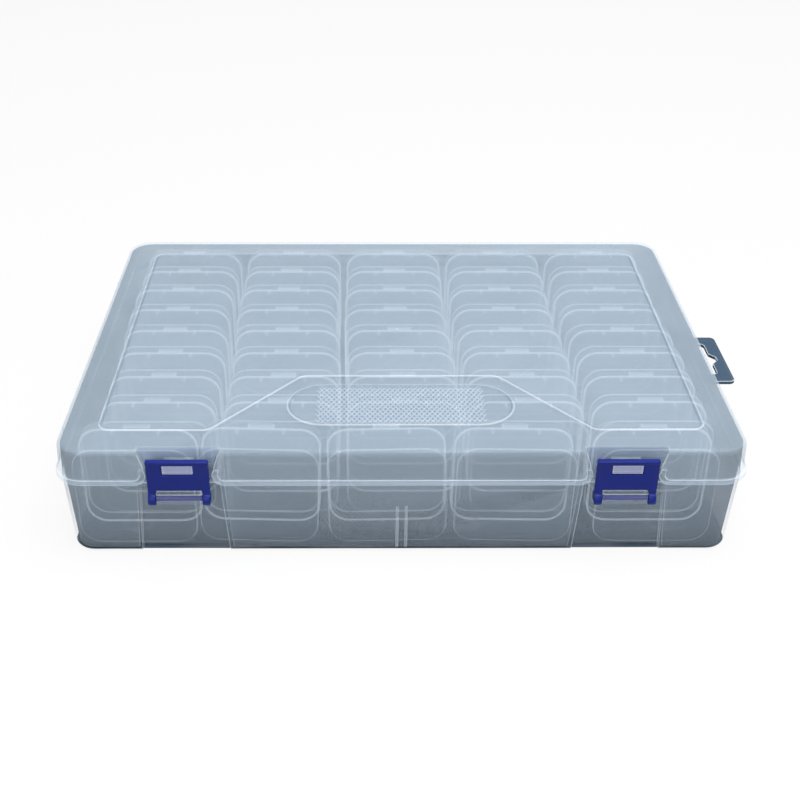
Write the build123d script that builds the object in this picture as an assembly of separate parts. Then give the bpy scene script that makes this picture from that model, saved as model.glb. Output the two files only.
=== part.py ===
from build123d import *
from math import cos, pi, sin
import os

# Embroidery thread box: a clear hinged case with two snap latches and a hang tab,
# holding small flip-top boxes that stand on edge in rows.
# Millimetres. +X is the right side, +Y the hinge side, +Z up. The origin is the
# centre of the underside that the case rests on. The latches are at the front, -Y.

# ---- Small thread boxes ----
columns = 5
rows = 9
box_width = 55.1            # across the rim
box_height = 52.7           # across the rim, the way the box stands
box_depth = 22.9            # tray and lid together
box_lid_depth = 6.6
box_wall = 1.0
box_corner = 9.8
corner_chords = 2           # straight chords to a corner, which keeps ninety shells light
box_draft = 1.4             # degrees, a tray narrows towards its floor
box_joint_gap = 0.1         # between a tray's rim and its lid
tab_width = 12.0            # thumb tab on each small lid
tab_length = 3.2
tab_proud = 0.7

# ---- How the small boxes stand in the case ----
column_gap = 3.5
row_gap = 0.2
front_row_shift = (-4.0, -6.4, -6.6, -7.0, -1.2)    # the front row has slid sideways
front_row_tilt = (0.0, 1.6, -1.2, 1.0, 0.0)         # degrees about Y
row_drift = (0.0, 1.9, 1.9, 2.0, 1.2, -0.3, -0.4, 0.0, 0.0)

# ---- Case shell ----
wall = 1.5
floor_thickness = 1.6
side_room = 5.9             # floor to spare beside the outer columns
end_room = 0.9              # floor to spare at each end of the rows
head_room = 0.7             # between a small box's tab and the lid
base_corner = 10.0          # corner radius at the floor
rim_corner = 12.0           # corner radius at the rim
side_flare = 2.5            # each side leans out by this from floor to rim
end_flare = 1.15            # front and rear lean out by this
base_height = 39.85
bottom_radius = 3.0
lip_height = 4.3            # inner lip that the lid's skirt drops over
lip_fit = 0.3

# ---- Lid ----
seam_gap = 0.15             # between the base's rim and the lid's skirt
lid_overhang = 1.1          # the skirt stands out from the rim
lid_lean = 0.9              # the skirt leans in by this to the top
lid_top_radius = 3.0
bead_height = 2.7           # stiffening bead round the skirt's lower edge
bead_proud = 1.15
ridge_width = 1.2           # stacking ridge on the lid's top
ridge_height = 0.6
ridge_side_inset = 17.95    # from the skirt's foot to the ridge
ridge_rear_inset = 20.1
ridge_front_inset = 17.5
ridge_notch_front = 87.5    # half widths of the notch round the finger pad
ridge_notch_rear = 47.0
ridge_notch_depth = 47.0
ridge_corner = 6.0
pad_length = 106.0          # finger pad outline
pad_width = 34.4
pad_inset = 38.9            # from the skirt's foot to the pad's middle
stack_clearance = 0.4       # groove under the base round the lid's ridge
groove_depth = 0.8

# ---- Latches ----
latch_inset = 55.15         # from the end of the rim to the latch's middle
latch_width = 27.6
latch_thickness = 2.0
latch_below_top = 2.6       # from the lid's top to the latch's
pivot_below_rim = 5.95      # from the base's rim to the cross pin
plate_above_boss = 1.8      # from the legs' bosses to the plate's foot
latch_lip = 0.6             # the finger lip stands out by this
latch_lip_height = 1.5
leg_width = 3.4
boss_radius = 3.2
pin_radius = 1.2
pin_fit = 0.25
pin_set_back = 0.25         # the pin's middle stands this far behind the plate's
latch_clearance = 0.3
window_width = 14.0
window_height = 5.0
window_below_top = 5.0      # from the latch's top to the window's middle
bracket_wall = 0.9

# ---- Recesses that the latches stand in ----
recess_depth = 2.0
recess_half_top = 17.8      # in the base, at the rim
recess_half_foot = 20.3
pocket_half_top = 18.4      # in the lid, at its top
pocket_half_low = 14.7
pocket_corner = 5.5
pocket_wall = 1.2
pocket_room = 0.75          # between the pocket's wall and the front row

# ---- Rear hinges ----
hinge_inset = 54.65         # from the end of the rim to the hinge's middle
hinge_offset = 3.5          # pin centre behind the lid's bead
hinge_pin_radius = 1.5
knuckle_bore_fit = 0.3
knuckle_radius = 3.0
knuckle_width = 16.0
knuckle_side_gap = 0.3
clip_opening = 2.4
lug_thickness = 3.0
lug_radius = 2.6
lug_drop = 11.0

# ---- Front ribs and hang tab ----
rib_spacing = 4.1
rib_width = 0.8
rib_proud = 0.8
rib_top = 26.4
tab_reach = 18.1            # hang tab, out from the rim
hang_tab_length = 45.6
hang_tab_thickness = 2.0
hang_tab_corner = 3.0
slot_width = 4.4
slot_length = 31.2
slot_to_edge = 7.4          # from the slot's outer side to the tab's edge
hump_height = 3.2
hump_foot = 10.4
hump_crest = 3.0

# ---- Worked out from the sizes above ----
column_pitch = box_width + column_gap
row_pitch = box_depth + row_gap
rows_depth = (rows - 1) * row_pitch + box_depth
front_row_y = -rows_depth / 2
inner_width = (columns - 1) * column_pitch + box_width + 2 * side_room
inner_depth = rows_depth + 2 * end_room

floor_width = inner_width + 2 * wall
floor_depth = inner_depth + 2 * recess_depth + 2 * wall
rim_width = floor_width + 2 * side_flare
rim_depth = floor_depth + 2 * end_flare

seam_z = base_height + seam_gap
case_top = floor_thickness + box_height + tab_proud + head_room + wall
lid_height = case_top - seam_z
lid_width = rim_width + 2 * lid_overhang
lid_depth = rim_depth + 2 * lid_overhang
lid_corner = rim_corner + lid_overhang
bead_depth = lid_depth + 2 * bead_proud

ridge_half_width = lid_width / 2 - ridge_side_inset
ridge_rear = lid_depth / 2 - ridge_rear_inset
ridge_front = lid_depth / 2 - ridge_front_inset
pad_centre = lid_depth / 2 - pad_inset

latch_x = rim_width / 2 - latch_inset
latch_top = case_top - latch_below_top
latch_wall_y = -(rim_depth / 2 - recess_depth)
plate_back_y = -(bead_depth + latch_clearance) / 2      # the whole plate stands in front of the bead
plate_front_y = plate_back_y - latch_thickness
pivot_y = (plate_back_y + plate_front_y) / 2 + pin_set_back
pivot_z = base_height - pivot_below_rim
plate_foot_z = pivot_z + boss_radius + plate_above_boss
latch_reach = latch_top - plate_foot_z
window_z = latch_top - window_below_top
bracket_half = latch_width / 2 - leg_width - latch_clearance
pocket_face_y = front_row_y - pocket_room - pocket_wall

hinge_x = rim_width / 2 - hinge_inset
hinge_y = bead_depth / 2 + hinge_offset
hinge_z = seam_z


def flared(width, depth, corner, low, high, grow=0.0):
    """Rounded block from low to high whose sides lean out as the base's do."""
    def outline(z):
        share = z / base_height
        return Pos(0, 0, z) * RectangleRounded(
            width + 2 * (grow + side_flare * share),
            depth + 2 * (grow + end_flare * share),
            corner + grow + (rim_corner - base_corner) * share,
        )
    return loft([outline(low), outline(high)], ruled=True)


def lid_block(grow, low, high):
    """Rounded block from low to high whose sides lean in as the lid's skirt does."""
    def outline(z):
        lean = lid_lean * (z - seam_z) / lid_height
        return Pos(0, 0, z) * RectangleRounded(
            lid_width + 2 * (grow - lean),
            lid_depth + 2 * (grow - lean),
            lid_corner + grow - lean,
        )
    return loft([outline(low), outline(high)], ruled=True)


def front_prism(outline, start_y, length):
    """Extrude an outline drawn in X and Z from start_y towards the rear."""
    return Pos(0, start_y, 0) * extrude(Plane.XZ * outline, amount=-length)


def side_prism(outline, half_width):
    """Extrude an outline drawn in Y and Z to both sides of X = 0."""
    return extrude(Plane.YZ * outline, amount=half_width, both=True)


def at_latches(shape):
    """A copy of a shape at each latch."""
    return [Pos(side * latch_x, 0, 0) * shape for side in (-1, 1)]


# ---- Case base ----

def recess_prism(grow):
    """Front recess at one latch, wider at its foot, through the whole wall."""
    top = recess_half_top + grow
    foot = recess_half_foot + grow
    outline = Polygon(
        (-foot, 0), (foot, 0), (top, base_height), (-top, base_height), align=None
    )
    return front_prism(outline, -rim_depth / 2 - wall, rim_depth / 4)


def base_recesses(inset, grow):
    """What the two latch recesses take from a block inset this far into the base."""
    core = flared(floor_width, floor_depth, base_corner, 0, base_height, -inset - recess_depth)
    return [cut - core for cut in at_latches(recess_prism(grow))]


def front_ribs():
    """Two upright ribs at the middle of the front wall."""
    skin = flared(floor_width, floor_depth, base_corner, 0, base_height, rib_proud)
    ribs = []
    for side in (-1, 1):
        strip = Pos(side * rib_spacing / 2, -floor_depth / 2, (bottom_radius + rib_top) / 2) * Box(
            rib_width, 2 * wall, rib_top - bottom_radius
        )
        ribs.append(strip & skin)
    return ribs


def base_lip():
    """Inner lip on the rim, left out where the lid's latch pockets come down."""
    outer = RectangleRounded(
        lid_width - 2 * (wall + lip_fit), lid_depth - 2 * (wall + lip_fit), lid_corner - wall - lip_fit
    )
    inner = RectangleRounded(rim_width - 2 * wall, rim_depth - 2 * wall, rim_corner - wall)
    foot = 1.0
    lip = Pos(0, 0, base_height - foot) * extrude(outer - inner, amount=lip_height + foot)
    pocket_foot = pocket_half_low + pocket_corner + pocket_wall
    gap = Pos(0, -rim_depth / 2, base_height + lip_height / 2) * Box(
        2 * (pocket_foot + lip_fit), 6 * wall, lip_height
    )
    return lip - at_latches(gap)


def hang_slot():
    """Hanger slot with a rounded hump in the middle of its outer side."""
    outer = rim_width / 2 + tab_reach - slot_to_edge
    slot = Pos(outer - slot_width / 2, 0) * Rot(0, 0, 90) * SlotOverall(slot_length, slot_width)
    hump = Polygon(
        (outer - 1, -hump_foot / 2),
        (outer, -hump_foot / 2),
        (outer + hump_height, -hump_crest / 2),
        (outer + hump_height, hump_crest / 2),
        (outer, hump_foot / 2),
        (outer - 1, hump_foot / 2),
        align=None,
    )
    return slot + hump


def hang_tab():
    """Flat tab on the right side of the rim, to hang the case from a peg hook."""
    root = 4 * hang_tab_corner
    plate = Pos(rim_width / 2 + (tab_reach - root) / 2, 0) * RectangleRounded(
        tab_reach + root, hang_tab_length, hang_tab_corner
    )
    top = base_height - hang_tab_thickness
    return Pos(0, 0, top) * extrude(plate - hang_slot(), amount=hang_tab_thickness)


def latch_bracket():
    """Clip on the recess wall that holds a latch's cross pin."""
    front = pivot_y - pin_radius - pin_fit - bracket_wall
    top = plate_foot_z - latch_clearance - 0.2
    root = latch_wall_y + 0.8
    outline = Polygon(
        (root, top),
        (pivot_y - boss_radius / 4, top),
        (front, pivot_z + boss_radius * 1.1),
        (front, pivot_z - boss_radius * 0.5),
        (pivot_y, pivot_z - boss_radius * 1.1),
        (root, pivot_z - boss_radius * 1.7),
        align=None,
    )
    bore = Pos(pivot_y, pivot_z) * Circle(pin_radius + pin_fit)
    return side_prism(outline - bore, bracket_half)


def hinge_lug():
    """One ear of a hinge, standing off the rear wall."""
    reach = lug_radius * sin(pi / 4)
    root = floor_depth / 2
    outline = Polygon(
        (root, base_height),
        (hinge_y, base_height),
        (hinge_y + reach, hinge_z - reach),
        (root, hinge_z - lug_drop),
        align=None,
    )
    return side_prism(outline + Pos(hinge_y, hinge_z) * Circle(lug_radius), lug_thickness / 2)


def base_hinge():
    """Pair of ears and the pin between them."""
    spread = knuckle_width / 2 + knuckle_side_gap + lug_thickness / 2
    pin = side_prism(Pos(hinge_y, hinge_z) * Circle(hinge_pin_radius), spread)
    return pin + [Pos(side * spread, 0, 0) * hinge_lug() for side in (-1, 1)]


def stacking_grooves():
    """Grooves in the underside that drop over another case's ridge."""
    outline = ridge_outline(stack_clearance) + pad_outline(stack_clearance)
    return extrude(outline, amount=groove_depth)


def case_base():
    """Open tray with its recesses, lip, brackets, hinge ears and hang tab."""
    shell = flared(floor_width, floor_depth, base_corner, 0, base_height)
    shell = fillet(shell.edges().group_by(Axis.Z)[0], bottom_radius)
    shell = shell + front_ribs() - base_recesses(0, 0)
    shell = shell + hang_tab() + at_latches(latch_bracket())
    shell = shell + [Pos(side * hinge_x, 0, 0) * base_hinge() for side in (-1, 1)]
    cavity = flared(floor_width, floor_depth, base_corner, floor_thickness, base_height, -wall)
    cavity = cavity - base_recesses(wall, wall)
    return shell - cavity + base_lip() - stacking_grooves()


# ---- Case lid ----

def ridge_outline(grow=0.0):
    """Band of the stacking ridge, seen from above, notched round the finger pad."""
    notch_y = ridge_notch_depth - ridge_front
    corners = [
        (ridge_half_width, ridge_rear),
        (ridge_half_width, -ridge_front),
        (ridge_notch_front, -ridge_front),
        (ridge_notch_rear, notch_y),
    ]
    corners += [(-x, y) for x, y in reversed(corners)]
    face = make_face(Polyline(*corners, close=True))
    face = fillet(face.vertices(), ridge_corner)
    return offset(face, grow) - offset(face, -ridge_width - grow)


def pad_outline(grow=0.0):
    """Band round the finger pad."""
    outer = SlotOverall(pad_length + 2 * grow, pad_width + 2 * grow)
    taken = 2 * (ridge_width + grow)
    inner = SlotOverall(pad_length - taken, pad_width - taken)
    return Pos(0, -pad_centre) * (outer - inner)


def pocket_outline(grow=0.0):
    """Latch pocket in X and Z: wide at the lid's top, narrow, then flared at the rim."""
    top = pocket_half_top + grow
    low = pocket_half_low + grow
    corner = pocket_corner - grow
    corner_z = seam_z + pocket_corner
    margin = 4 * seam_gap + grow
    outline = Polygon(
        (-low, seam_z - margin),
        (low, seam_z - margin),
        (low, corner_z),
        (top, case_top + margin),
        (-top, case_top + margin),
        (-low, corner_z),
        align=None,
    )
    for side in (-1, 1):
        square = Pos(side * (low + corner / 2), (seam_z - margin + corner_z) / 2) * Rectangle(
            corner, corner_z - seam_z + margin
        )
        outline += square - Pos(side * (low + corner), corner_z) * Circle(corner)
    return outline


def latch_pockets(grow, back_y):
    """Both latch pockets, from in front of the bead to back_y."""
    start = -bead_depth / 2 - wall
    pocket = front_prism(pocket_outline(grow), start, back_y - start)
    return at_latches(pocket)


def skirt_bead():
    """Bead along the skirt's lower edge, which turns up beside each latch pocket."""
    low_band = lid_block(bead_proud, seam_z, seam_z + bead_height)
    turn_up = lid_block(bead_proud, seam_z, seam_z + pocket_corner + bead_height)
    start = -bead_depth / 2 - wall
    corner_band = front_prism(pocket_outline(bead_height), start, 2 * bead_height)
    return low_band + [turn_up & corner for corner in at_latches(corner_band)]


def latch_catch():
    """Wedge on a pocket's wall that the latch's window snaps over."""
    face = plate_back_y + latch_clearance
    low = window_z - window_height / 2 + latch_clearance
    high = window_z + window_height / 2 - latch_clearance
    outline = Polygon(
        (pocket_face_y + pocket_wall / 2, low),
        (face, low),
        (face, window_z),
        (pocket_face_y + pocket_wall / 2, high),
        align=None,
    )
    return side_prism(outline, window_width / 2 - latch_clearance)


def hinge_knuckle():
    """Clip on the skirt that snaps over a hinge pin from above."""
    pin = Pos(hinge_y, hinge_z)
    bore_radius = hinge_pin_radius + knuckle_bore_fit
    arm_root = lid_depth / 2 - wall / 2
    arm = Pos((arm_root + hinge_y) / 2, seam_z + bead_height / 2) * Rectangle(
        hinge_y - arm_root, bead_height
    )
    opening = pin * Pos(0, -knuckle_radius) * Rectangle(clip_opening, 2 * knuckle_radius)
    outline = arm + pin * Circle(knuckle_radius) - pin * Circle(bore_radius) - opening
    return side_prism(outline, knuckle_width / 2)


def case_lid():
    """Hinged lid with its bead, latch pockets, catches, ridge and clips."""
    shell = lid_block(0, seam_z, case_top)
    shell = fillet(shell.edges().group_by(Axis.Z)[-1], lid_top_radius)
    shell = shell + skirt_bead() - latch_pockets(0, pocket_face_y)
    shell = shell + [Pos(side * hinge_x, 0, 0) * hinge_knuckle() for side in (-1, 1)]
    cavity = lid_block(-wall, seam_z - wall, case_top - wall)
    cavity = cavity - latch_pockets(pocket_wall, pocket_face_y + pocket_wall)
    shell = shell - cavity + at_latches(latch_catch())
    ridges = ridge_outline() + pad_outline()
    return shell + Pos(0, 0, case_top) * extrude(ridges, amount=ridge_height)


# ---- Latches ----

def latch():
    """Snap latch: windowed plate with a finger lip, two legs and a cross pin."""
    leg_x = (latch_width - leg_width) / 2
    front_view = Pos(0, latch_top - latch_reach / 2) * Rectangle(latch_width, latch_reach)
    leg_foot = pivot_z - boss_radius
    for side in (-1, 1):
        leg = Pos(side * leg_x, (leg_foot + plate_foot_z + leg_width) / 2) * Rot(0, 0, 90)
        front_view += leg * SlotOverall(plate_foot_z + leg_width - leg_foot, leg_width)
    front_view -= Pos(0, window_z) * Rectangle(window_width, window_height)

    plate_y = (plate_back_y + plate_front_y) / 2
    side_view = Pos(plate_y, (pivot_z + latch_top) / 2) * Rectangle(
        latch_thickness, latch_top - pivot_z
    )
    side_view += Pos(pivot_y, pivot_z) * Circle(boss_radius)
    side_view += Pos(plate_front_y - latch_lip / 2, latch_top - latch_lip_height / 2) * Rectangle(
        latch_lip, latch_lip_height
    )

    depth = 4 * boss_radius
    body = side_prism(side_view, latch_width / 2) & front_prism(front_view, pivot_y - depth, 2 * depth)
    return body + side_prism(Pos(pivot_y, pivot_z) * Circle(pin_radius), leg_x)


# ---- Small boxes ----

def box_outline(inset=0.0):
    """Rounded outline of a small box, each corner drawn as a few equal chords."""
    corner = box_corner - inset
    reach_x = box_width / 2 - box_corner
    reach_z = box_height / 2 - box_corner
    points = []
    for quarter in range(4):
        centre_x = reach_x if quarter in (0, 3) else -reach_x
        centre_z = reach_z if quarter in (0, 1) else -reach_z
        for step in range(corner_chords + 1):
            angle = (quarter + step / corner_chords) * pi / 2
            points.append((centre_x + corner * cos(angle), centre_z + corner * sin(angle)))
    return Polygon(*points, align=None)


def shell_half(depth, taper):
    """Open half shell with its mouth at Y = 0, reaching to Y = -depth."""
    outer = extrude(Plane.XZ * box_outline(), amount=depth, taper=taper)
    inner = extrude(Plane.XZ * box_outline(box_wall), amount=depth - box_wall, taper=taper)
    return outer - inner


def box_tray():
    """Tray of a small box, floor to the front."""
    depth = box_depth - box_lid_depth - box_joint_gap
    return Pos(0, depth, 0) * shell_half(depth, box_draft)


def box_lid():
    """Lid of a small box, with a thumb tab in the middle of its upper side."""
    tab = Pos(0, -tab_length / 2, box_height / 2) * Box(tab_width, tab_length, 2 * tab_proud)
    mouth = box_depth - box_lid_depth
    return Pos(0, mouth, 0) * Rot(0, 0, 180) * (shell_half(box_lid_depth, 0) + tab)


def box_place(row, column):
    """Where the small box of this row and column stands, from the front left."""
    x = (column - (columns - 1) / 2) * column_pitch
    y = front_row_y + row * row_pitch
    z = floor_thickness + box_height / 2
    if row > 0:
        return Pos(x + row_drift[row % len(row_drift)], y, z)
    pick = column % len(front_row_tilt)
    tilt = front_row_tilt[pick] * pi / 180
    # A tilted box stands on one lower corner, so its middle rises.
    half_w = box_width / 2 - box_corner
    half_h = box_height / 2 - box_corner
    lift = half_w * abs(sin(tilt)) + half_h * (cos(tilt) - 1)
    return Pos(x + front_row_shift[pick], y, z + lift) * Rot(0, front_row_tilt[pick], 0)


def main():
    os.makedirs("parts", exist_ok=True)
    export_step(case_base(), "parts/case_base.step")
    export_step(case_lid(), "parts/case_lid.step")
    for name, side in (("left", -1), ("right", 1)):
        export_step(Pos(side * latch_x, 0, 0) * latch(), f"parts/latch_{name}.step")
    tray, lid = box_tray(), box_lid()
    for row in range(rows):
        places = [box_place(row, column) for column in range(columns)]
        for column, place in enumerate(places):
            export_step(place * tray, f"parts/thread_box_r{row + 1}_c{column + 1}.step")
        lids = Compound([place * lid for place in places])
        export_step(lids, f"parts/thread_box_lids_r{row + 1}.step")


main()
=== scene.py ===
import logging
from dataclasses import KW_ONLY, dataclass
from enum import Enum
from functools import cached_property
from math import cos, pi, radians, sin, tan

import bmesh
import bpy
from bmesh.types import BMesh
from bpy.types import Material, Mesh, MeshPolygon, Node, NodeTree, Object
from mathutils import Matrix, Vector


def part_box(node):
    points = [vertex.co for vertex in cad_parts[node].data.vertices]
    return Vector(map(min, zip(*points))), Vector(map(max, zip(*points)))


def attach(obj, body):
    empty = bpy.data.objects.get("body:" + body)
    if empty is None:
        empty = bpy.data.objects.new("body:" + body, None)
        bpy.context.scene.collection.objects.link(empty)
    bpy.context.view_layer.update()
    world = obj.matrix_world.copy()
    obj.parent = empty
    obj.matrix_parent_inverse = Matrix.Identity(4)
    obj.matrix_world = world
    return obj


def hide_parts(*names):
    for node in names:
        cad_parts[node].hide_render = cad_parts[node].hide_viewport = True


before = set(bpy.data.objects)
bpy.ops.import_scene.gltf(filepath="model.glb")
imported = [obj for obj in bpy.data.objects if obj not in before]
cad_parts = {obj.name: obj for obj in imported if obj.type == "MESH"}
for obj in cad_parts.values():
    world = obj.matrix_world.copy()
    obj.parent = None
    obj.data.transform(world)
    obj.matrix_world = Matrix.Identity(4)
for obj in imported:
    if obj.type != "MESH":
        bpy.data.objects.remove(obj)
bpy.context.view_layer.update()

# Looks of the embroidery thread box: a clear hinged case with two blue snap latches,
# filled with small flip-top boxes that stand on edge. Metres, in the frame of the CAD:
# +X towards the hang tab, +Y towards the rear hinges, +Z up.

LOG = logging.getLogger("thread_box")
MM = 0.001
LATCH_X = 99.5 * MM
TOP_Z = 57.2 * MM
FLOOR_Z = 1.6 * MM

Colour = tuple[float, float, float]
Point = tuple[float, float, float]
Socket = bpy.types.NodeSocket


class Body(Enum):
    """The bodies that pieces ride on."""

    CASE = "case"
    LID = "lid"
    LATCH_LEFT = "latch_left"
    LATCH_RIGHT = "latch_right"


class Slot(Enum):
    """The record's material slots."""

    CASE = "clear_case"
    BOX = "clear_box"
    LATCH = "blue_latch"


# ---- Node trees ----


@dataclass
class Graph:
    """Adds nodes to a shader or geometry tree and joins their sockets."""

    tree: NodeTree

    def add(self, kind: str, inputs: dict | None = None, **settings: object) -> Node:
        """Add a node.

        Args:
            kind: The node's type name.
            inputs: Input name or number to a value, or to the output socket that feeds it.
            settings: The node's own properties.

        Returns:
            The new node.
        """
        node = self.tree.nodes.new(kind)
        for key, value in settings.items():
            setattr(node, key, value)
        for key, value in (inputs or {}).items():
            if isinstance(value, Socket):
                self.tree.links.new(value, node.inputs[key])
            else:
                node.inputs[key].default_value = value
        return node

    def math(self, operation: str, *values: object) -> Socket:
        """Add a Math node.

        Args:
            operation: The operation's name.
            values: Its inputs in order, as numbers or sockets.

        Returns:
            The result's socket.
        """
        return self.add("ShaderNodeMath", dict(enumerate(values)), operation=operation).outputs[0]


def new_group(name: str, kind: str, inputs: dict[str, str], outputs: dict[str, str]) -> tuple:
    """Start a node group with named sockets.

    Args:
        name: The group's name.
        kind: "ShaderNodeTree" or "GeometryNodeTree".
        inputs: Input name to what it carries, such as "Float".
        outputs: Output name to what it carries.

    Returns:
        The tree, its Graph, the Group Input node and the Group Output node.
    """
    tree = bpy.data.node_groups.new(name, kind)
    for way, sockets in (("INPUT", inputs), ("OUTPUT", outputs)):
        for label, carried in sockets.items():
            tree.interface.new_socket(label, in_out=way, socket_type=f"NodeSocket{carried}")
    graph = Graph(tree)
    return tree, graph, graph.add("NodeGroupInput"), graph.add("NodeGroupOutput")


@dataclass(frozen=True)
class MouldingHaze:
    """The cloudiness of clear moulded plastic: slow flow marks and a fine frost."""

    flow_detail: float = 3.0
    flow_warp: float = 0.6
    frost_detail: float = 1.0
    tint_share: float = 0.4
    least_rough: float = 0.75
    frost_rough: float = 0.5

    def build(self) -> NodeTree:
        """Build the group that every plastic shares.

        Returns:
            A shader group that gives a tint, a share for the alpha, a roughness and a grain height.
        """
        tree, graph, given, out = new_group(
            "Moulding haze",
            "ShaderNodeTree",
            {
                "Vector": "Vector",
                "Tint": "Color",
                "Flow size": "Float",
                "Flow strength": "Float",
                "Frost size": "Float",
                "Roughness": "Float",
            },
            {"Tint": "Color", "Share": "Float", "Roughness": "Float", "Grain": "Float"},
        )
        given = given.outputs
        noises = []
        for size, detail, warp in (
            ("Flow size", self.flow_detail, self.flow_warp),
            ("Frost size", self.frost_detail, 0.0),
        ):
            scale = graph.math("DIVIDE", 1.0, given[size])
            inputs = {"Vector": given["Vector"], "Scale": scale, "Detail": detail}
            noise = graph.add("ShaderNodeTexNoise", {**inputs, "Distortion": warp})
            noises.append(noise.outputs["Fac"])
        flow, frost = noises
        swing = graph.math("SUBTRACT", flow, 0.5)
        share = graph.math("MULTIPLY_ADD", swing, given["Flow strength"], 1.0)
        tint_swing = graph.math("MULTIPLY", given["Flow strength"], self.tint_share)
        lighter = graph.math("MULTIPLY_ADD", swing, tint_swing, 1.0)
        tint = graph.add(
            "ShaderNodeVectorMath", {0: given["Tint"], "Scale": lighter}, operation="SCALE"
        )
        frosted = graph.math("MULTIPLY_ADD", frost, self.frost_rough, self.least_rough)
        rough = graph.math("MULTIPLY", given["Roughness"], frosted)
        results = {"Tint": tint.outputs[0], "Share": share, "Roughness": rough, "Grain": frost}
        for name, socket in results.items():
            tree.links.new(socket, out.inputs[name])
        return tree


@dataclass(frozen=True)
class Plastic:
    """Opaque coloured plastic with a satin skin and faint flow marks."""

    name: str
    tint: Colour
    _: KW_ONLY
    roughness: float = 0.35
    specular: float = 0.12
    flow_size: float = 9 * MM
    flow_strength: float = 0.5
    frost_size: float = 0.35 * MM
    grain_depth: float = 0.012 * MM
    grain_strength: float = 0.6

    def start(self, haze: NodeTree) -> tuple:
        """Start a material with its cloudiness, its grain and a constant gloss.

        Args:
            haze: The shared cloudiness group.

        Returns:
            The material, its Graph, its shader, the cloudiness node and the Object coordinates.
        """
        material = bpy.data.materials.new(self.name)
        material.use_nodes = True
        graph = Graph(material.node_tree)
        shader = material.node_tree.nodes["Principled BSDF"]
        place = graph.add("ShaderNodeTexCoord").outputs["Object"]
        cloud = graph.add(
            "ShaderNodeGroup",
            {
                "Vector": place,
                "Tint": (*self.tint, 1.0),
                "Flow size": self.flow_size,
                "Flow strength": self.flow_strength,
                "Frost size": self.frost_size,
                "Roughness": self.roughness,
            },
            node_tree=haze,
        )
        grain = {
            "Height": cloud.outputs["Grain"],
            "Strength": self.grain_strength,
            "Distance": self.grain_depth,
        }
        bump = graph.add("ShaderNodeBump", grain)
        graph.tree.links.new(cloud.outputs["Roughness"], shader.inputs["Roughness"])
        graph.tree.links.new(bump.outputs["Normal"], shader.inputs["Normal"])
        shader.inputs["Specular IOR Level"].default_value = self.specular
        return material, graph, shader, cloud, place

    def build(self, haze: NodeTree) -> Material:
        """Make the material.

        Args:
            haze: The shared cloudiness group.

        Returns:
            An opaque material.
        """
        material, graph, shader, cloud, _ = self.start(haze)
        graph.tree.links.new(cloud.outputs["Tint"], shader.inputs["Base Color"])
        return material


@dataclass(frozen=True)
class ClearPlastic(Plastic):
    """Clear polypropylene: little haze seen face on, more where a wall is seen along itself."""

    face_alpha: float
    grazing_alpha: float
    _: KW_ONLY
    falloff: float = 2.6
    roughness: float = 0.16
    specular: float = 0.35
    # Emission on an edge finish: a painted highlight that keeps its lines bright under any lamp.
    painted_glow: float = 0.0
    painted_glow_tint: Colour = (0.80, 0.86, 0.91)
    near_tint: Colour | None = None
    near_alpha: float = 0.1
    # A foot share below one thins the haze towards the foot: painted shade that makes the walls
    # darker towards the bottom.
    foot_share: float = 1.0
    full_height: float = 46 * MM
    flow_size: float = 45 * MM
    flow_strength: float = 0.25
    frost_size: float = 3.0 * MM
    grain_depth: float = 0.002 * MM
    grain_strength: float = 0.5

    def build(self, haze: NodeTree) -> Material:
        """Make the material.

        Args:
            haze: The shared cloudiness group.

        Returns:
            A see-through material.
        """
        material, graph, shader, cloud, place = self.start(haze)
        facing = graph.add("ShaderNodeLayerWeight", {"Blend": 0.5}).outputs["Facing"]
        along = graph.math("POWER", facing, self.falloff)
        gain = self.grazing_alpha - self.face_alpha
        alpha = graph.math("MULTIPLY_ADD", along, gain, self.face_alpha)
        colour = cloud.outputs["Tint"]
        if self.near_tint is not None:
            alpha, colour = self.seen_through(graph, along, alpha, colour)
        alpha = graph.math("MULTIPLY", alpha, cloud.outputs["Share"])
        if self.foot_share < 1.0:
            alpha = graph.math("MULTIPLY", alpha, self.rise(graph, place))
        graph.tree.links.new(colour, shader.inputs["Base Color"])
        graph.tree.links.new(alpha, shader.inputs["Alpha"])
        if self.painted_glow:
            # Painted highlight: the edge glows with emission that stands in for light caught in the
            # wall, though it is no lamp; it lights nothing else.
            material.cycles.emission_sampling = "NONE"
            shader.inputs["Emission Color"].default_value = (*self.painted_glow_tint, 1.0)
            shader.inputs["Emission Strength"].default_value = self.painted_glow
        return material

    def rise(self, graph: Graph, place: Socket) -> Socket:
        """Thin the haze towards the foot as painted shade, where less light comes in from above.

        Args:
            graph: The material's nodes.
            place: The Object coordinates.

        Returns:
            The share of the alpha that is left.
        """
        height = graph.add("ShaderNodeSeparateXYZ", {0: place}).outputs["Z"]
        span = {"Value": height, "From Max": self.full_height, "To Min": self.foot_share}
        return graph.add("ShaderNodeMapRange", {**span, "To Max": 1.0}).outputs[0]

    def seen_through(self, graph: Graph, along: Socket, alpha: Socket, colour: Socket) -> tuple:
        """Clear the plastic where it is seen from behind, through the wall that it lines.

        Args:
            graph: The material's nodes.
            along: How far the wall is seen along itself.
            alpha: The alpha seen from the open side.
            colour: The colour seen from the open side.

        Returns:
            The alpha and the colour for both ways of looking.
        """
        behind = graph.add("ShaderNodeNewGeometry").outputs["Backfacing"]
        near = graph.math("MULTIPLY_ADD", along, self.near_alpha, self.near_alpha)
        both = graph.add("ShaderNodeMix", {0: behind, 2: alpha, 3: near}, data_type="FLOAT")
        tints = graph.add("ShaderNodeMix", {0: behind, 6: colour}, data_type="RGBA")
        tints.inputs[7].default_value = (*self.near_tint, 1.0)
        return both.outputs[0], tints.outputs[2]


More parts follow.
